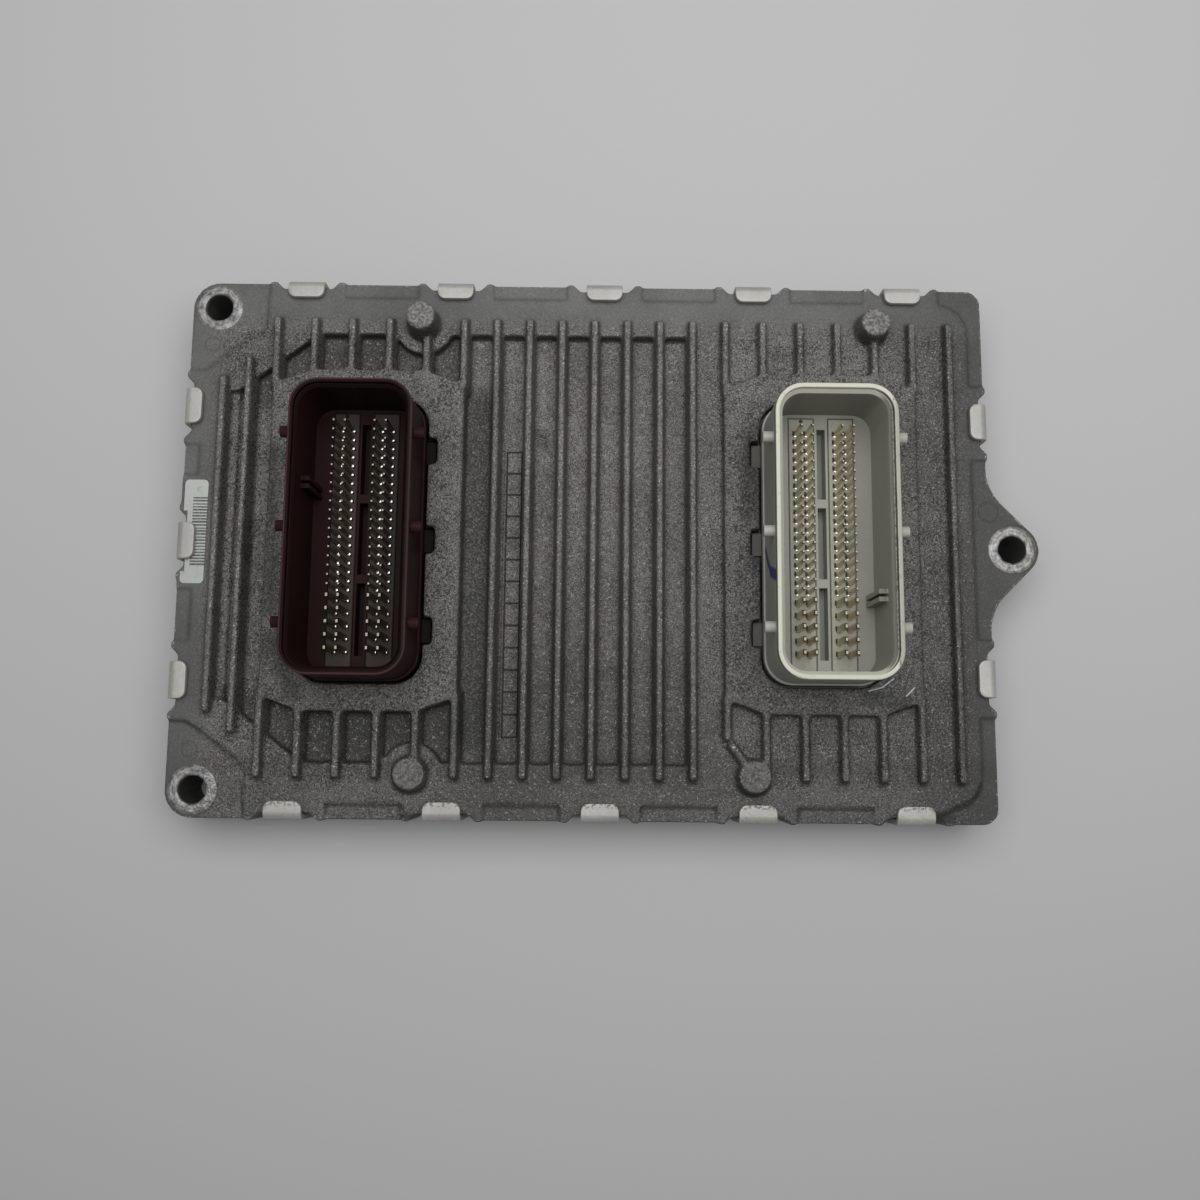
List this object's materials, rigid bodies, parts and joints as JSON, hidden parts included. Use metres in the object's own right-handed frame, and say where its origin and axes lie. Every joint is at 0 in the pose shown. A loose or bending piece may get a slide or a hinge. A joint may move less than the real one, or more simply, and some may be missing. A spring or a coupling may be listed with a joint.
{
  "type": "engine control unit",
  "caption": "Engine control unit with a ribbed die-cast housing, a dark red and a pale plug socket with rows of pins, a crimped sheet cover and three mounting holes.",
  "frame": {"origin": "Centre of the mounting plane under the cover, midway between the casting's straight edges", "axes": "+Z points out of the sockets, away from the mounting plane; +X runs along the length to the single mounting ear; +Y runs across"},
  "size_m": [0.1739, 0.1102, 0.0316],
  "materials": {
    "cast_aluminium": "matte as-cast, mottled",
    "sheet_aluminium": "satin",
    "seal_rubber": "matte",
    "label_paper": "matte",
    "dark_red_plastic": "satin",
    "pale_plastic": "satin",
    "pin_brass": "bright plated",
    "board_laminate": "satin",
    "screw_steel": "satin",
    "chip_plastic": "matte",
    "sensor_ceramic": "matte",
    "can_aluminium": "satin",
    "inductor_ferrite": "matte",
    "pad_rubber": "matte"
  },
  "bodies": {
    "root": {"housing": "cast_aluminium", "base_plate": "sheet_aluminium", "perimeter_seal": "seal_rubber", "bar_label": "label_paper", "connector_shroud_a": "dark_red_plastic", "connector_shroud_b": "pale_plastic", "contact_carriers_a": "dark_red_plastic", "contact_carriers_b": "pale_plastic", "signal_pins_a": "pin_brass", "signal_pins_b": "pin_brass", "power_pins_a": "pin_brass", "power_pins_b": "pin_brass", "connector_seal_a": "seal_rubber", "connector_seal_b": "seal_rubber", "circuit_board": "board_laminate", "board_screws": "screw_steel", "microcontroller": "chip_plastic", "memory_chip": "chip_plastic", "driver_chips": "chip_plastic", "power_transistors": "chip_plastic", "crystal": "screw_steel", "pressure_sensor": "sensor_ceramic", "smoothing_capacitors": "can_aluminium", "chip_capacitors": "sensor_ceramic", "inductors": "inductor_ferrite", "thermal_pads": "pad_rubber"}
  },
  "joints": []
}
